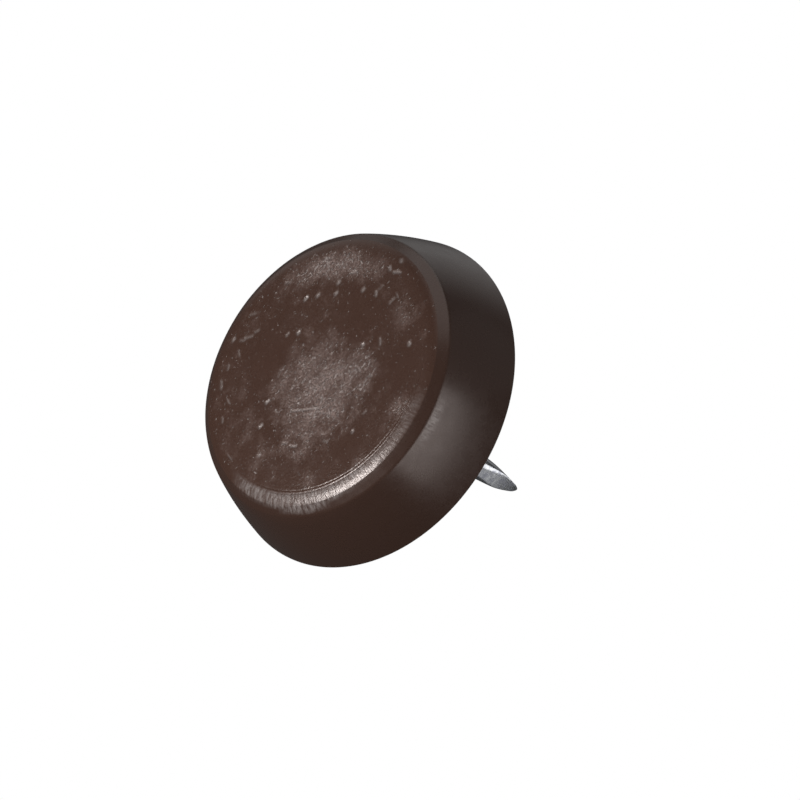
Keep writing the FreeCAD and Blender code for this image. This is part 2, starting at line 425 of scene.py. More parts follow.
# %% Moulded relief
CROWN_RADIUS, CROWN_FALL = 6.4, 0.035  # where the ring is highest, and how far it falls to its edge
CROWN_LIMIT = 1.1  # the fall ends this many times as far out as the ring's edge
RIPPLE_HEIGHT = 0.004
RIPPLE_LENGTHS = (8, 3.5)
RIPPLE_WAVES, RIPPLE_SEED = 24, 1
RIPPLE_SINK = 2  # heights by which the ripple is let in
WITNESS_RADII = (8.62, 8.84)
WITNESS_DEPTH, WITNESS_WIDTH = 0.024, 0.045
WITNESS_ARC = (15, 110)

crown = -CROWN_FALL * np.clip((radius - CROWN_RADIUS) / (LAND_RADIUS - CROWN_RADIUS), 0, CROWN_LIMIT) ** 2
crown = crown * np.interp(along, [along[face_end - 1], along[chamfer_end]], [1, 0])
ripple = RIPPLE_HEIGHT * (waves(places, *RIPPLE_LENGTHS, RIPPLE_WAVES, RIPPLE_SEED) - RIPPLE_SINK)
fade_up = np.interp(along, [along[chamfer_end], along[wall_end - 1]], [1, 0])
moulded = crown[:, None] + ripple * fade_up[:, None]
for ring in WITNESS_RADII:
    groove = bump_of(radius - ring, WITNESS_WIDTH)[:, None] * around(*WITNESS_ARC)
    moulded = moulded - WITNESS_DEPTH * np.where(on_face, groove, 0)
print(f"the mould leaves marks up to {-moulded.min():.3f} mm deep")

# %% [markdown]
# ## What handling leaves
#
# The face has nicks and short scratches from knocks, and the lower side of the shoulder is rubbed
# down. A bump map could fake them, but these are deep enough to catch the light on their flanks,
# so they are cut into the mesh. The sum of all relief stays at or below zero, so that the pad
# never grows past its solid.

# %% Nicks and worn shoulder
EDGE_WEAR, EDGE_WEAR_REACH = 0.06, 0.4  # how far the shoulder is rubbed down, and how widely
EDGE_WEAR_ANGLE, EDGE_WEAR_SPAN = 15, 38
SHOULDER_MIDDLE = 3  # rows from the wall back to the middle of the shoulder

# Angle and radius of the middle, length, heading, width and depth. Angles and headings are in
# degrees, as the picture shows them; 0 heads for its lower left.
NICKS = [
    (19, 2.84, 2.3, 120, 0.16, 0.060),
    (27, 3.15, 1, 131, 0.16, 0.027),
    (48, 3.37, 1.3, 105, 0.16, 0.027),
    (61, 4.39, 1.4, 90, 0.16, 0.024),
    (47, 5.10, 0.2, 110, 0.43, 0.090),
    (48, 5.55, 0.4, 110, 0.18, 0.053),
    (112, 4.16, 0.2, 60, 0.43, 0.075),
    (115, 3.49, 0.3, 60, 0.20, 0.060),
    (109, 4.65, 0.3, 120, 0.20, 0.060),
    (143, 3.76, 0.1, -16, 0.25, 0.083),
    (137, 5.16, 0.4, 40, 0.20, 0.068),
    (328, 1.36, 0.3, -16, 0.16, 0.053),
    (328, 2.30, 0.3, -16, 0.16, 0.045),
    (299, 3.38, 0.5, 10, 0.16, 0.045),
    (258, 4.35, 0.3, -16, 0.16, 0.053),
    (248, 3.76, 0.2, -16, 0.24, 0.070),
    (20, 5.50, 0.5, 115, 0.19, 0.060),
    (11, 5.43, 0.4, 115, 0.18, 0.045),
    (47, 2.16, 0.1, -16, 0.24, 0.070),
    (83, 5.84, 0.3, -16, 0.16, 0.045),
    (69, 6.18, 0.1, -16, 0.24, 0.070),
    (326, 4.41, 0.3, -16, 0.19, 0.083),
    (342, 5.55, 0.3, -16, 0.19, 0.083),
    (357, 6.94, 0.1, -16, 0.24, 0.075),
    (279, 8.55, 0.2, -16, 0.24, 0.070),
    (302, 8.35, 0.5, 40, 0.28, 0.053),
    (342, 8.60, 0.5, 80, 0.16, 0.045),
    (231, 5.82, 0.3, -16, 0.21, 0.098),
    (175, 8.32, 0.2, 40, 0.24, 0.083),
    (170, 8.42, 0.6, 114, 0.18, 0.068),
    (173, 9.20, 0.2, 40, 0.24, 0.070),
    (172, 6.42, 0.2, 30, 0.25, 0.075),
    (172, 6.95, 0.4, -16, 0.16, 0.045),
    (159, 6.95, 0.5, -16, 0.16, 0.060),
    (159, 7.45, 0.3, 60, 0.16, 0.053),
    (205, 6.31, 0.2, -16, 0.24, 0.070),
    (183, 6.16, 0.2, -16, 0.24, 0.070),
    (205, 5.51, 0.2, -16, 0.24, 0.070),
    (221, 5.63, 0.2, -16, 0.24, 0.070),
    (128, 7.52, 0.1, -16, 0.24, 0.098),
    (275, 7.30, 0.7, 130, 0.16, 0.060),
    (278, 7.75, 0.4, 115, 0.16, 0.053),
    (270, 6.90, 0.4, 140, 0.16, 0.053),
    (285, 7.50, 0.4, 60, 0.16, 0.053),
    (293, 8.05, 0.3, 20, 0.18, 0.060),
    (264, 8.20, 0.5, 125, 0.16, 0.053),
    (312, 7.60, 0.4, 70, 0.16, 0.053),
    (321, 8.20, 0.3, 30, 0.18, 0.060),
    (240, 7.90, 0.5, 120, 0.16, 0.053),
    (215, 8.30, 0.6, 110, 0.16, 0.053),
    (196, 7.10, 0.5, 125, 0.16, 0.060),
]
NICK_WIDTH = 4  # column of the width


def nick(degrees, distance, length, heading, width, depth):
    """Short groove: a bell curve of the distance to a straight stretch on the face."""
    middle, lean = picture_angle(degrees), picture_angle(heading)
    way = np.array([math.cos(lean), math.sin(lean)])
    off_x, off_y = across_x - distance * math.cos(middle), across_y - distance * math.sin(middle)
    run_on = np.clip(off_x * way[0] + off_y * way[1], -length / 2, length / 2)
    gap = np.hypot(off_x - run_on * way[0], off_y - run_on * way[1])
    return -depth * bump_of(gap, width / 2)


marks = np.where(on_face, sum(nick(*mark) for mark in NICKS), 0)
off_shoulder = along - along[chamfer_end - SHOULDER_MIDDLE]
worn_edge = EDGE_WEAR * bump_of(off_shoulder, EDGE_WEAR_REACH)[:, None]
worn_edge = worn_edge * bump_of(turned_from(EDGE_WEAR_ANGLE), EDGE_WEAR_SPAN)
relief = np.minimum(moulded + marks - worn_edge, 0)
print(f"{len(NICKS)} nicks, deepest mark on the pad {-relief.min():.3f} mm")

# %% [markdown]
# ## Where the face is worn and carries painted sheen
#
# Sliding on a floor dulls the plastic, most of all in the dish and in a crescent on the ring. The
# same amount also paints a sheen there: the pale haze it sets stands in for the lamps' reflection
# spread over the dull face. One plastic covers the whole pad, and separate materials would leave
# hard borders, so the mesh carries the amount of wear and sheen as an attribute that the shader
# reads. It is the greatest of a few soft patches, less in a few others, made uneven by waves.

# %% Worn patches and painted sheen
WEAR_AND_SHEEN_EVERYWHERE = 0.3
# Angle in the picture, radius and reach of a patch, and how much wear and painted sheen the face has
# there
WEAR_AND_SHEEN_PATCHES = [
    (48, 1.6, 4.6, 0.97),
    (24, 4.6, 2.4, 0.75),
    (105, 2.8, 3.0, 0.85),
    (320, 1.8, 3.2, 0.8),
    (148, 7.2, 2.0, 0.55),
    (305, 7.0, 2.6, 0.40),
    (335, 6.6, 2.6, 0.45),
    (0, 6.6, 2.4, 0.45),
    (95, 8.3, 1.3, 0.7),
    (65, 8.3, 1.1, 0.55),
    (35, 8.0, 1.3, 0.5),
]
# A crescent on the ring that is worn and carries painted sheen
CRESCENT_WEAR_AND_SHEEN = 0.92
CRESCENT_RADIUS, CRESCENT_WIDTH = 7.7, 1.5
CRESCENT_ANGLE, CRESCENT_SPAN = 209, 42
# Patches with less wear and less painted sheen
LESS_WEAR_AND_SHEEN_PATCHES = [(175, 4.7, 1.5), (280, 4.8, 1.5), (116, 7.2, 1.2), (62, 7.0, 1.1)]
PATCH_CUT = 0.9  # share of the wear and painted sheen that these patches take away
UNEVEN_MEAN, UNEVEN_SWING, UNEVEN_MOST = 0.9, 0.1, 1.2
UNEVEN_LENGTHS = (2.4, 0.9)
UNEVEN_WAVES, UNEVEN_SEED = 32, 7
WEAR_AND_SHEEN_RADII, WEAR_AND_SHEEN_SHARES = (0, 8.8, 9.2, 9.7), (1, 1, 0.6, 0.2)  # less wear and painted sheen up the roll


def patch(degrees, distance, reach):
    """Soft round patch: a bell curve of the distance from a place on the face."""
    middle = picture_angle(degrees)
    off = np.hypot(across_x - distance * np.cos(middle), across_y - distance * np.sin(middle))
    return bump_of(off, reach)


# Wear, which also sets where the pale painted sheen lies on the face
wear_and_sheen = np.full_like(across_x, WEAR_AND_SHEEN_EVERYWHERE)
for *spot, amount_there in WEAR_AND_SHEEN_PATCHES:
    wear_and_sheen = np.maximum(wear_and_sheen, amount_there * patch(*spot))
crescent = bump_of(radius - CRESCENT_RADIUS, CRESCENT_WIDTH)[:, None]
crescent = crescent * bump_of(turned_from(CRESCENT_ANGLE), CRESCENT_SPAN)
wear_and_sheen = np.maximum(wear_and_sheen, CRESCENT_WEAR_AND_SHEEN * crescent)
for spot in LESS_WEAR_AND_SHEEN_PATCHES:
    wear_and_sheen = wear_and_sheen * (1 - PATCH_CUT * patch(*spot))
uneven = UNEVEN_MEAN + UNEVEN_SWING * waves(places, *UNEVEN_LENGTHS, UNEVEN_WAVES, UNEVEN_SEED)
wear_and_sheen = wear_and_sheen * np.clip(uneven, 0, UNEVEN_MOST)
wear_and_sheen = np.where(on_face, np.interp(radius, WEAR_AND_SHEEN_RADII, WEAR_AND_SHEEN_SHARES)[:, None] * wear_and_sheen, 0)
print(f"wear on the face from {wear_and_sheen[:face_end].min():.2f} to {wear_and_sheen[:face_end].max():.2f}")

# %% [markdown]
# ## Scuffs, scratches and painted highlights
#
# The roll is scuffed across its width on the side that was dragged, one scrape runs on over the
# chamfer, and a rub marks the foot of the wall. Their pale colour is also a painted highlight, where
# the left window's reflection runs along the roll and onto the chamfer and where the low right
# lamp's sheen meets the wall. Thin nicks are painted paler than the plastic, as glints on their
# flanks. These could be painted on an image, but an image needs an unwrapped skin. As amounts on the
# mesh's own points they follow the rings exactly.

# %% Scuffs, scratches and painted highlights
SCUFF_RADII, SCUFF_SHARES = (8.7, 8.95, 9.5, 9.64, 9.8), (0, 1, 1, 0.2, 0)
SCUFF_ARC = (0, 68)
# A fainter scuff further round the roll, pale to paint more of its highlight there
FAINT_ARC, FAINT_SHARE = (80, 98), 0.4
# The scrape over the chamfer is pale where the highlight runs on from the roll: painted highlight
SCRAPE_ARC = (5, 55)
SCRAPE_START, SCRAPE_END = 9.4, 9.62
SCRAPE_TONGUE = 0.55  # how much further out the scrape runs at its longest
SCRAPE_ANGLE, SCRAPE_SPAN = 33, 16
SCRAPE_FADE = 0.2
# The rub at the wall's foot is pale where the wall's highlight begins: painted highlight
RUB_AMOUNT, RUB_ANGLE, RUB_SPAN = 1.6, 96, 7
RUB_HEIGHT, RUB_REACH = 0.25, 0.3  # above the wall's first row
# The face takes a paler brown than the wall, which stays darker as painted shade
FACE_TONE_RADII, FACE_TONE_SHARES = (0, 8.8, ROLL_END), (1, 1, 0.9)
THIN = 0.3  # nicks narrower than this are painted pale, as glints
SCRATCH_AMOUNT, SCRATCH_DEPTH, SCRATCH_CONTRAST = 0.6, 0.08, 1.5

ring_radius = radius[:, None]
rolled = np.interp(radius, SCUFF_RADII, SCUFF_SHARES)[:, None]
rolled = rolled * (around(*SCUFF_ARC) + FAINT_SHARE * around(*FAINT_ARC))
scrape_end = SCRAPE_END + SCRAPE_TONGUE * bump_of(turned_from(SCRAPE_ANGLE), SCRAPE_SPAN)
scrape = np.clip((scrape_end - ring_radius) / SCRAPE_FADE, 0, 1)
scrape = scrape * (ring_radius > SCRAPE_START) * around(*SCRAPE_ARC)
rub = RUB_AMOUNT * bump_of(along - along[chamfer_end] - RUB_HEIGHT, RUB_REACH)[:, None]
rub = rub * bump_of(turned_from(RUB_ANGLE), RUB_SPAN)
# Scuff amount: streaks in the bump, and in the colour also a painted highlight
scuff_and_highlight = np.where(before_wall, np.clip(rolled + scrape, 0, 1), 0) + np.where(on_wall, rub, 0)

# Share of the face's paler brown; the wall and back keep the darker brown as painted shade
face_tone = np.where(on_face, np.interp(radius, FACE_TONE_RADII, FACE_TONE_SHARES)[:, None], 0)
face_tone = np.broadcast_to(face_tone, across_x.shape)
thin_marks = sum(nick(*mark) for mark in NICKS if mark[NICK_WIDTH] < THIN)
# Thin nicks painted pale as glints on their flanks
scratch_glint = SCRATCH_AMOUNT * np.clip(-thin_marks / SCRATCH_DEPTH, 0, 1) ** SCRATCH_CONTRAST
scratch_glint = np.where(on_face, scratch_glint, 0)
print(f"scuffs up to {scuff_and_highlight.max():.2f} and scratches up to {scratch_glint.max():.2f}")

# %% [markdown]
# ## The mesh of the pad
#
# Each point of the outline moves along its normal by the relief, and the mesh takes the amounts
# as attributes. One more attribute holds a direction that turns with the angle, and the distance
# along the outline. It lets the shader draw streaks that run straight out from the middle, with
# no seam where the last column meets the first, as a UV map would have.

# %% Pad mesh
pad_radius = radius[:, None] + normal[:, :1] * relief
pad_height = height[:, None] + normal[:, 1:] * relief
pad_grid = np.stack([pad_radius * np.cos(angle), pad_radius * np.sin(angle), pad_height], axis=-1)
pad_poles = [(0, 0, pad_height[0].mean()), (0, 0, HEAD_FLOOR)]
turning = np.stack(
    [
        np.broadcast_to(np.cos(angle), across_x.shape),
        np.broadcast_to(np.sin(angle), across_x.shape),
        np.broadcast_to(along[:, None], across_x.shape),
    ],
    axis=-1,
)

pad_mesh = closed_mesh("glide_pad_moulding", pad_grid, pad_poles)
# Attributes: wear with painted sheen, scuffs with painted highlight, the face's paler brown (the darker
# wall is painted shade), painted glints in thin nicks
add_attribute(pad_mesh, "wear_and_sheen", "FLOAT", wear_and_sheen, [wear_and_sheen[0].mean(), 0])
add_attribute(pad_mesh, "scuff_and_highlight", "FLOAT", scuff_and_highlight, [0, 0])
add_attribute(pad_mesh, "face_tone", "FLOAT", face_tone, [1, 0])
add_attribute(pad_mesh, "scratch_glint", "FLOAT", scratch_glint, [0, 0])
add_attribute(pad_mesh, "turning", "FLOAT_VECTOR", turning, [(0, 0, 0), (0, 0, along[-1])])
print(f"pad mesh of {len(pad_mesh.polygons)} faces")

# %% [markdown]
# ## The nail
#
# The nail is drawn wire. Its head is upset in the pad, and its point is pinched off by four dies,
# which leave four bowed facets and a blunt end. A square point could be cut with booleans, but
# the edges would be knife sharp. Here the radius at each height and angle is a soft minimum of the
# round wire and the square between the facets, so every edge comes out slightly rounded. The
# facets are turned about the axis, and the shank leans a little, as the real one does.

# %% Nail lines
POINT_LENGTH, POINT_WIDTH = 7.7, 0.3
FACET_OVERSHOOT = 0.02  # each facet's curve dies out this far outside the wire
FACET_TURN = math.radians(31)  # the facets lie this far round from the first column
EDGE_HARDNESS = 14
TIP_ROUNDING = 0.85  # the dome at the tip starts this far below it
DOME_SHARE = 0.96  # share of its section that the tip loses to the dome


def facet_distance(below_tip):
    """Distance of a facet from the axis.

    The facet follows a circle that is level with the wire, a little outside it, one point length
    below the tip, and falls to half the blunt width at the tip.
    """
    fall = SHANK_RADIUS + FACET_OVERSHOOT - POINT_WIDTH / 2
    bow = (POINT_LENGTH**2 + fall**2) / (2 * fall)
    left = np.clip(POINT_LENGTH - below_tip, 0, None)
    return SHANK_RADIUS + FACET_OVERSHOOT - bow + np.sqrt(bow**2 - left**2)


def shank_radius(below_tip, turn):
    """Radius of the wire and its point: soft minimum of the circle and of the facets' square.

    The square's radius at an angle is the facet distance over the cosine of the angle to the
    nearest facet. The soft minimum is the root of a sum of powers. It also takes a few hundredths
    of a millimetre off four sides of the straight wire, where the facets' curve runs so close to
    it. The last stretch is a dome: the root of one less a share of the squared way up it.
    """
    to_facet = (turn - FACET_TURN + np.pi / 4) % (np.pi / 2) - np.pi / 4
    square = facet_distance(below_tip) / np.cos(to_facet)
    soft = (SHANK_RADIUS**-EDGE_HARDNESS + square**-EDGE_HARDNESS) ** (-1 / EDGE_HARDNESS)
    dome = np.clip(1 - below_tip / TIP_ROUNDING, 0, 1)
    return soft * np.sqrt(1 - DOME_SHARE * dome**2)


print(f"facets {2 * facet_distance(POINT_LENGTH / 2):.2f} mm apart halfway down the point")

# %% [markdown]
# ## The mesh of the nail
#
# The head and neck are plain runs, and the shank above the hub follows the formula. Rings crowd
# together towards the tip, where the shape changes fastest: even spacing would need several times
# as many for the same round end.

# %% Nail mesh
NAIL_COLUMNS = 144
SHANK_ROWS, POINT_ROWS, TIP_ROWS = 60, 70, 16
TIP_LENGTH = 0.4  # the last stretch, with its rings crowded towards the tip
CROWDED = 1.5
LEAN = 0.0088  # the nail leans by this much for each millimetre above the hub

turn = np.arange(NAIL_COLUMNS) * 2 * np.pi / NAIL_COLUMNS
head = np.concatenate(
    [
        run((INNER_RING, HEAD_FLOOR), (HEAD_RADIUS, HEAD_FLOOR), rows=4),
        run((HEAD_RADIUS, HEAD_FLOOR), (HEAD_RADIUS, HEAD_TOP), rows=3),
        run((HEAD_RADIUS, HEAD_TOP), (NECK_RADIUS, HEAD_TOP), rows=3),
        run((NECK_RADIUS, HEAD_TOP), (SHANK_RADIUS, HUB_TOP), rows=6),
    ]
)
below = np.concatenate(
    [
        np.linspace(TIP_HEIGHT - HUB_TOP, POINT_LENGTH, SHANK_ROWS, endpoint=False),
        np.linspace(POINT_LENGTH, TIP_LENGTH, POINT_ROWS, endpoint=False),
        TIP_LENGTH * np.linspace(1, 0, TIP_ROWS) ** CROWDED,
    ]
)
wire = np.minimum(shank_radius(below[:, None], turn[None, :]), SHANK_RADIUS)
nail_radius = np.concatenate([np.repeat(head[:, :1], NAIL_COLUMNS, axis=1), wire])
nail_height = np.concatenate([head[:, 1], TIP_HEIGHT - below])
lean = LEAN * np.clip(nail_height - HUB_TOP, 0, None)
lean_x, lean_y = -lean * math.cos(VIEW_AZIMUTH), -lean * math.sin(VIEW_AZIMUTH)
nail_grid = np.stack(
    [
        nail_radius * np.cos(turn) + lean_x[:, None],
        nail_radius * np.sin(turn) + lean_y[:, None],
        np.repeat(nail_height[:, None], NAIL_COLUMNS, axis=1),
    ],
    axis=-1,
)
nail_poles = [(0, 0, HEAD_FLOOR), (lean_x[-1], lean_y[-1], TIP_HEIGHT)]
nail_mesh = closed_mesh("wire_nail", nail_grid, nail_poles)
flats, corners = 2 * wire[0].min(), 2 * wire[0].max()
print(f"straight wire {flats:.2f} mm across its flats and {corners:.2f} mm across its corners")

# %% [markdown]
# ## Materials from nodes
#
# A finish could be photographed and wrapped round the part, but an image has one size and one
# light in it. Nodes that are worked out in place have neither. These helpers keep each finish
# short to write. Everything is drawn in object coordinates scaled to millimetres, so that grain
# has its real size.

# %% Node helpers
MIX_PART, MIX_FIRST, MIX_SECOND, MIXED = 0, 6, 7, 2  # the Mix node's sockets for colours


def new_material(name):
    """Empty node material with an output; returns the material, its tree and the output node."""
    material = bpy.data.materials.new(name)
    material.use_nodes = True
    tree = material.node_tree
    tree.nodes.clear()
    return material, tree, tree.nodes.new("ShaderNodeOutputMaterial")


def set_input(tree, socket, value):
    """Give a socket a value, or a link where the value is another socket."""
    if isinstance(value, bpy.types.NodeSocket):
        tree.links.new(value, socket)
    else:
        socket.default_value = value


def add_node(tree, kind, inputs=None, **settings):
    """Node of a kind, with settings as attributes and inputs as values or as links."""
    node = tree.nodes.new(kind)
    for key, value in settings.items():
        setattr(node, key, value)
    for key, value in (inputs or {}).items():
        set_input(tree, node.inputs[key], value)
    return node


def math_node(tree, operation, first, second):
    """Result of one arithmetic step on two values or sockets."""
    return add_node(tree, "ShaderNodeMath", {0: first, 1: second}, operation=operation).outputs[0]


def millimetres(tree):
    """Object coordinates in millimetres."""
    place = add_node(tree, "ShaderNodeTexCoord").outputs["Object"]
    scaled = add_node(tree, "ShaderNodeVectorMath", {0: place, "Scale": 1 / MM}, operation="SCALE")
    return scaled.outputs[0]


def noise(tree, place, scale, detail, roughness=0.5):
    """Noise from nought to one, with scale in features per millimetre."""
    inputs = {"Vector": place, "Scale": scale, "Detail": detail, "Roughness": roughness}
    return add_node(tree, "ShaderNodeTexNoise", inputs).outputs[0]


def about_nought(tree, value):
    """A noise less one half, so that fading it in and out leaves no step."""
    return math_node(tree, "SUBTRACT", value, 0.5)


def spread(tree, value, low, high, to_low, to_high):
    """Value stretched from one range to another and held at its ends."""
    inputs = {"Value": value, "From Min": low, "From Max": high, "To Min": to_low, "To Max": to_high}
    return add_node(tree, "ShaderNodeMapRange", inputs).outputs[0]


def blend_colours(tree, part, first, second):
    """Mix of two colours: the first less a part of it, and that part of the second."""
    node = add_node(tree, "ShaderNodeMix", data_type="RGBA")
    for index, value in ((MIX_PART, part), (MIX_FIRST, first), (MIX_SECOND, second)):
        set_input(tree, node.inputs[index], value)
    return node.outputs[MIXED]


def bump(tree, height, distance, under=None):
    """Normal of a height times a distance, on top of another normal if there is one."""
    inputs = {"Strength": 1, "Distance": distance, "Height": height}
    if under:
        inputs["Normal"] = under
    return add_node(tree, "ShaderNodeBump", inputs).outputs[0]


# %% [markdown]
# ## The patterns in the plastic
#
# The plastic is a dark brown that pales wherever it is rough, and its pale coats also carry painted
# light. Three patterns carry that: a haze of fine speckle over the worn face, which is wear and
# painted sheen, sparse bright flecks that crowd where the wear is worst, painted as glints, and
# streaks across the scuffed roll, whose pale colour is partly a painted highlight. Each is a noise,
# stretched or cut off in its own way, times an amount from the mesh. A hand-painted mask would give
# the same, but only for one pad.

# %% Plastic patterns
# Noises: scale, detail and, if it isn't one half, roughness
GRAIN_NOISE = (7, 3, 0.65)
RAGGED_NOISE = (0.9, 6, 0.75)
FLECK_NOISE = (5.5, 2)
STREAK_NOISE = (1, 3, 0.6)
# Spreads: lowest and highest value taken, and what they become
SPECKLE_SPREAD = (0.46, 0.6, 0.3, 1)
HAZE_SPREAD = (0.3, 1, 0, 1)
FLECK_SPREAD = (0.71, 0.79, 0, 1)
RAGGEDNESS = 1.3  # how far the noise moves the edge of the haze
CROWDING = 0.2  # how much wear lowers the bar for a fleck
GRAIN_TURN = math.radians(25)
GRAIN_STRETCH, FLECK_STRETCH = (1.3, 1, 1), (1.5, 1, 1)
STREAK_SCALE = (55, 55, 1.8)  # fine round the axis, long along the outline


def amount(tree, name):
    """Amount that the mesh carries under a name."""
    return add_node(tree, "ShaderNodeAttribute", attribute_name=name).outputs["Fac"]


def stretched(tree, place, stretch):
    """Coordinates turned into the grain's direction and drawn out along it."""
    inputs = {"Vector": place, "Rotation": (0, 0, GRAIN_TURN), "Scale": stretch}
    return add_node(tree, "ShaderNodeMapping", inputs, vector_type="TEXTURE").outputs[0]


def sheen_and_wear_haze(tree, place):
    """Haze of wear and painted sheen: the amount with its edge moved by a coarse noise, times a fine
    speckle.
    """
    grain = noise(tree, stretched(tree, place, GRAIN_STRETCH), *GRAIN_NOISE)
    patchy = about_nought(tree, noise(tree, place, *RAGGED_NOISE))
    ragged = math_node(tree, "ADD", amount(tree, "wear_and_sheen"), math_node(tree, "MULTIPLY", patchy, RAGGEDNESS))
    speckle = spread(tree, grain, *SPECKLE_SPREAD)
    return math_node(tree, "MULTIPLY", spread(tree, ragged, *HAZE_SPREAD), speckle)


def glint_flecks(tree, place):
    """Flecks painted pale as glints and raised in the bump: the peaks of a noise that wear has raised, on
    the face alone.
    """
    raised = math_node(tree, "MULTIPLY", amount(tree, "wear_and_sheen"), CROWDING)
    spots = noise(tree, stretched(tree, place, FLECK_STRETCH), *FLECK_NOISE)
    peaks = spread(tree, math_node(tree, "ADD", spots, raised), *FLECK_SPREAD)
    return math_node(tree, "MULTIPLY", peaks, amount(tree, "face_tone"))


def streaks(tree):
    """Streaks: a noise over the turning direction and the distance along the outline."""
    turning_way = add_node(tree, "ShaderNodeAttribute", attribute_name="turning").outputs["Vector"]
    inputs = {0: turning_way, 1: STREAK_SCALE}
    place = add_node(tree, "ShaderNodeVectorMath", inputs, operation="MULTIPLY").outputs[0]
    return noise(tree, place, *STREAK_NOISE)


# %% [markdown]
# ## Brown plastic
#
# The colour is laid on in coats: dark brown, a paler and redder brown on the face that leaves the
# wall darker as painted shade, then the haze of wear and painted sheen, the flecks painted as
# glints, the scuffs with a painted highlight and the scratches painted as glints, each paler than
# the last. Colour alone would look like paint, so the same patterns also move the normal: a
# leathery grain where the face is worn, raised flecks and fine streaks. The gloss is tinted a little
# towards the plastic and wanders slowly.

# %% Brown plastic
# Dark brown of the plastic, kept darker on the wall and back than the face's brown: painted shade
DARK_BROWN = (0.0365, 0.0188, 0.0136, 1)
FACE_BROWN = (0.046, 0.0226, 0.0157, 1)
# Pale haze of wear, which is also a painted sheen
SHEEN_AND_WEAR_BROWN = (0.190, 0.139, 0.124, 1)
# Painted glints on the flecks
PAINTED_GLINT_BROWN = (0.230, 0.188, 0.174, 1)
# Pale scuffs, which are also a painted highlight on the roll, the chamfer and the wall's foot
SCUFF_AND_HIGHLIGHT_BROWN = (0.170, 0.145, 0.137, 1)
# Painted glints in thin nicks
SCRATCH_GLINT_BROWN = (0.260, 0.230, 0.220, 1)
GLOSS_TINT = (1, 0.9, 0.86, 1)
CLOUD_NOISE, CLOUD_SPREAD = (0.35, 3), (0.35, 0.65, 0.8, 1)
GLOSS_NOISE, GLOSS_SPREAD = (1.2, 4, 0.6), (0.3, 0.7, 0.24, 0.31)
STREAK_SPREAD = (0.38, 0.64, 0.12, 0.95)
LEATHER_NOISE = (7, 3, 0.6)
LEATHER_HEIGHT = 0.10 * MM
FLECK_HEIGHT = 0.06 * MM
STREAK_HEIGHT = 0.03 * MM


def plastic_colour(tree, place, glint_fleck, streak):
    """Coats of brown, each blended over the last by its own pattern."""
    cloud = spread(tree, noise(tree, place, *CLOUD_NOISE), *CLOUD_SPREAD)
    # Scuffs streaked across the roll, pale also as a painted highlight
    scuff_and_highlight_coat = math_node(tree, "MULTIPLY", amount(tree, "scuff_and_highlight"), spread(tree, streak, *STREAK_SPREAD))
    coats = [
        # Paler brown on the face only, so that the wall stays darker: painted shade
        (math_node(tree, "MULTIPLY", amount(tree, "face_tone"), cloud), FACE_BROWN),
        (sheen_and_wear_haze(tree, place), SHEEN_AND_WEAR_BROWN),
        (glint_fleck, PAINTED_GLINT_BROWN),
        (scuff_and_highlight_coat, SCUFF_AND_HIGHLIGHT_BROWN),
        (amount(tree, "scratch_glint"), SCRATCH_GLINT_BROWN),
    ]
    brown = DARK_BROWN
    for pattern, coat in coats:
        brown = blend_colours(tree, pattern, brown, coat)
    return brown


def plastic_normal(tree, place, glint_fleck, streak):
    """Leathery grain by the wear, flecks on top of it, and streaks by the scuffs on top of both."""
    leather = about_nought(tree, noise(tree, stretched(tree, place, GRAIN_STRETCH), *LEATHER_NOISE))
    leathery = bump(tree, math_node(tree, "MULTIPLY", leather, amount(tree, "wear_and_sheen")), LEATHER_HEIGHT)
    flecked = bump(tree, glint_fleck, FLECK_HEIGHT, leathery)
    streaked = math_node(tree, "MULTIPLY", about_nought(tree, streak), amount(tree, "scuff_and_highlight"))
    return bump(tree, streaked, STREAK_HEIGHT, flecked)


def brown_plastic():
    """Moulded plastic: coats of brown, a normal from the same patterns, and a wandering gloss."""
    material, tree, output = new_material("brown_plastic")
    place = millimetres(tree)
    glint_fleck = glint_flecks(tree, place)
    streak = streaks(tree)
    inputs = {
        "Base Color": plastic_colour(tree, place, glint_fleck, streak),
        "Roughness": spread(tree, noise(tree, place, *GLOSS_NOISE), *GLOSS_SPREAD),
        "Normal": plastic_normal(tree, place, glint_fleck, streak),
        "Specular Tint": GLOSS_TINT,
    }
    shader = add_node(tree, "ShaderNodeBsdfPrincipled", inputs)
    tree.links.new(shader.outputs[0], output.inputs["Surface"])
    return material


new_piece("glide_pad_moulding", pad_mesh, brown_plastic(), "glide_pad")

# %% [markdown]
# ## Zinc-plated steel
#
# Barrel-plated zinc is bright but cloudy: it mirrors in blotches and is dull between them, with a
# faint blue cast. One roughness for the whole wire would look like chrome, so a coarse noise moves
# both the colour and the roughness, and a fine one gives the plating its grain.

# %% Zinc plate
BRIGHT_ZINC = (0.68, 0.69, 0.71, 1)
DULL_ZINC = (0.44, 0.45, 0.50, 1)
BLOTCH_NOISE = (2.4, 4, 0.6)
BLOTCH_SPREAD = (0.38, 0.62, 0, 1)
DULLNESS_SPREAD = (0.35, 0.65, 0.32, 0.2)
PLATE_NOISE = (5, 3, 0.6)
PLATE_HEIGHT = 0.0015 * MM


def zinc_plate():
    """Plated steel: blotches of colour and roughness, with a fine grain in the bump."""
    material, tree, output = new_material("zinc_plated_steel")
    place = millimetres(tree)
    blotch = noise(tree, place, *BLOTCH_NOISE)
    inputs = {
        "Base Color": blend_colours(tree, spread(tree, blotch, *BLOTCH_SPREAD), DULL_ZINC, BRIGHT_ZINC),
        "Metallic": 1,
        "Roughness": spread(tree, blotch, *DULLNESS_SPREAD),
        "Normal": bump(tree, noise(tree, place, *PLATE_NOISE), PLATE_HEIGHT),
    }
    shader = add_node(tree, "ShaderNodeBsdfPrincipled", inputs)
    tree.links.new(shader.outputs[0], output.inputs["Surface"])
    return material


new_piece("wire_nail", nail_mesh, zinc_plate(), "nail")

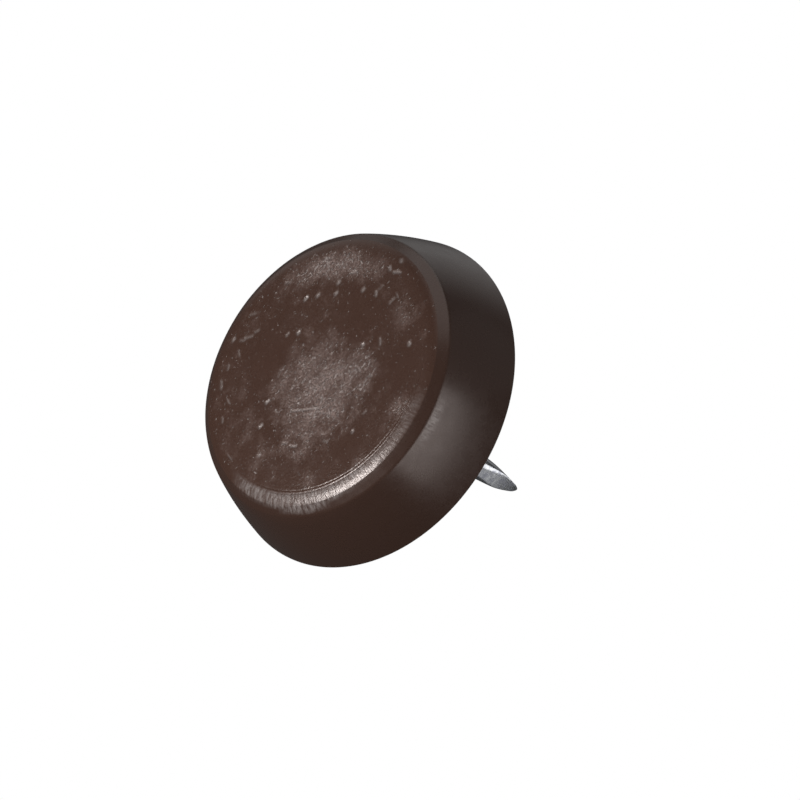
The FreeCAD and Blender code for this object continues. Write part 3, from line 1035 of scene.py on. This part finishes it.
# %% [markdown]
# ## The floor
#
# The part is seen from below the floor. A solid floor would stand between the camera and the
# part, so this one is a disc that shows only its upper side, to the camera alone, and fades out
# with distance, before it reaches the lamps. Seen from above it holds the part's shadow.

# %% Floor
FLOOR_RADIUS = 120.0
FADE_START, FADE_END = 0.25 * FLOOR_RADIUS, 0.8 * FLOOR_RADIUS
FLOOR_COLUMNS = 96
FLOOR_DROP = 0.01  # just under the pad, so that the two never share a plane
FLOOR_COLOUR = (0.86, 0.86, 0.86, 1)
FLOOR_GLOW = 0.2
WHITE = (1, 1, 1, 1)


def floor_material():
    """Pale floor, clear from below and far from the part."""
    material, tree, output = new_material("pale_floor")
    place = millimetres(tree)
    distance = add_node(tree, "ShaderNodeVectorMath", {0: place}, operation="LENGTH").outputs["Value"]
    far = spread(tree, distance, FADE_START, FADE_END, 0, 1)
    under = add_node(tree, "ShaderNodeNewGeometry").outputs["Backfacing"]
    clear_part = math_node(tree, "MAXIMUM", far, under)
    paint = add_node(tree, "ShaderNodeBsdfDiffuse", {"Color": FLOOR_COLOUR}).outputs[0]
    glow = add_node(tree, "ShaderNodeEmission", {"Color": WHITE, "Strength": FLOOR_GLOW}).outputs[0]
    lit = add_node(tree, "ShaderNodeAddShader", {0: paint, 1: glow}).outputs[0]
    clear = add_node(tree, "ShaderNodeBsdfTransparent").outputs[0]
    mixed = add_node(tree, "ShaderNodeMixShader", {0: clear_part, 1: lit, 2: clear}).outputs[0]
    tree.links.new(mixed, output.inputs["Surface"])
    return material


rim = np.arange(FLOOR_COLUMNS) * 2 * np.pi / FLOOR_COLUMNS
floor_points = np.stack([np.cos(rim), np.sin(rim), np.zeros_like(rim)], axis=1) * FLOOR_RADIUS
floor_points[:, 2] = -FLOOR_DROP
floor_mesh = bpy.data.meshes.new("floor")
floor_mesh.from_pydata((floor_points * MM).tolist(), [], [list(range(FLOOR_COLUMNS))])
floor_mesh.materials.append(floor_material())
floor = bpy.data.objects.new("floor", floor_mesh)
bpy.context.scene.collection.objects.link(floor)
floor.visible_diffuse = False
floor.visible_glossy = False
floor.visible_transmission = False
floor.visible_shadow = False
print(f"floor of {2 * FLOOR_RADIUS:.0f} mm, clear from {FADE_END:.0f} mm out")

# %% [markdown]
# ## The background
#
# The picture is on plain white, so the world is white to the camera. To the part it is a pale
# backdrop in dim surroundings, with a share of white where the part mirrors that backdrop. A white
# room all round would be simpler, but a dark plastic in it would turn grey.

# %% World
BACKDROP_WAY = (0.33, 0.66, -0.67)  # middle of the backdrop, along the camera's right, up and back
BACKDROP_EDGE, BACKDROP_FULL = math.cos(math.radians(32)), math.cos(math.radians(8))
BACKDROP_COLOUR = (0.4, 0.4, 0.4, 1)
MIRRORED_SHARE = 0.15
SURROUNDINGS = (0.06, 0.06, 0.06, 1)


def from_view(way):
    """Direction in the scene of one given along the camera's right, up and back."""
    return Matrix((RIGHT, UP, BACK)).transposed() @ Vector(way)


world = bpy.data.worlds.new("studio")
bpy.context.scene.world = world
world.use_nodes = True
sky = world.node_tree
sky.nodes.clear()
direction = add_node(sky, "ShaderNodeTexCoord").outputs["Generated"]
middle_way = from_view(BACKDROP_WAY).normalized()
nearness = add_node(sky, "ShaderNodeVectorMath", {0: direction, 1: middle_way}, operation="DOT_PRODUCT")
backdrop = spread(sky, nearness.outputs["Value"], BACKDROP_EDGE, BACKDROP_FULL, 0, 1)
ray = add_node(sky, "ShaderNodeLightPath").outputs
mirrored = math_node(sky, "MAXIMUM", ray["Is Glossy Ray"], ray["Is Transmission Ray"])
in_mirror = math_node(sky, "MULTIPLY", math_node(sky, "MULTIPLY", mirrored, backdrop), MIRRORED_SHARE)
shown = math_node(sky, "MAXIMUM", ray["Is Camera Ray"], in_mirror)
lighting = blend_colours(sky, backdrop, SURROUNDINGS, BACKDROP_COLOUR)
seen = blend_colours(sky, shown, lighting, WHITE)
background = add_node(sky, "ShaderNodeBackground", {"Color": seen, "Strength": 1})
world_output = add_node(sky, "ShaderNodeOutputWorld")
sky.links.new(background.outputs[0], world_output.inputs["Surface"])
print("backdrop towards", [round(part, 2) for part in middle_way])

# %% [markdown]
# ## Lamps
#
# Soft panels stand round the part, out of the camera's sight. Each is placed by the direction in
# which the picture shows its reflection, given along the camera's right, up and back, so the
# highlights fall on the same stretches of the pad. A sky texture would be simpler, but its
# highlights could not be placed. A panel's level is how bright it looks: at one it is pure white.
# The ceiling lights the floor and the back, but isn't mirrored, or the nail would show it as a bar.

# %% Lamps
# name: direction (right, up, back), distance, long side, its direction, short side, level
LAMPS = {
    "left_window": ((-0.755, -0.06, 0.65), 130, 46, (0.27, 0.21, 0.34), 38, 34.0),
    "left_glow": ((-0.84, 0.18, 0.51), 130, 80, (0.5, 0.1, 0.86), 60, 1.6),
    "right_low": ((0.61, -0.31, 0.73), 130, 140, (0.5, 0.87, 0), 56, 2.8),
    "right_high": ((0.85, 0.45, 0.20), 130, 110, (0, 0, 1), 90, 0.2),
    "overhead": ((0.12, 0.96, 0.18), 130, 150, (0, 0, 1), 85, 0.9),
    "nail_right": ((0.88, -0.32, -0.34), 130, 66, (0, 1, 0), 56, 1.7),
    "nail_low": ((0.57, -0.77, -0.28), 130, 60, (0.8, 0.6, 0), 44, 0.5),
    "far_side": ((-0.475, 0.778, -0.409), 130, 90, (0, 0, 1), 90, 0.4),
    "ceiling": ((0.579, -0.361, -0.73), 160, 60, (1, 0, 0), 60, 14.0),
}


def add_lamp(name, toward, distance, long_side, long_way, short_side, level):
    """Rectangular soft panel that faces the middle of the pad.

    Its long side is the given direction less the part of it that points at the pad. Its power is
    pi times its area times its level.
    """
    out = from_view(toward).normalized()
    way = from_view(long_way)
    way = (way - out * way.dot(out)).normalized()
    data = bpy.data.lights.new(name, "AREA")
    data.shape = "RECTANGLE"
    data.size, data.size_y = long_side * MM, short_side * MM
    data.energy = math.pi * data.size * data.size_y * level
    lamp = bpy.data.objects.new(name, data)
    bpy.context.scene.collection.objects.link(lamp)
    axes = Matrix((way, out.cross(way), out)).transposed().to_4x4()
    lamp.matrix_world = Matrix.Translation((seat_centre / 2 + out * distance) * MM) @ axes
    lamp.visible_camera = False
    print(f"{name}: {data.energy:.4f} watts")


for lamp_name, settings in LAMPS.items():
    add_lamp(lamp_name, *settings)
bpy.data.objects["ceiling"].visible_glossy = False

# %% [markdown]
# ## Colour
#
# The Standard view shows each colour as it was written. The last cell sets that view and updates
# the scene.

# %% Finish
bpy.context.scene.view_settings.view_transform = "Standard"
bpy.context.view_layer.update()
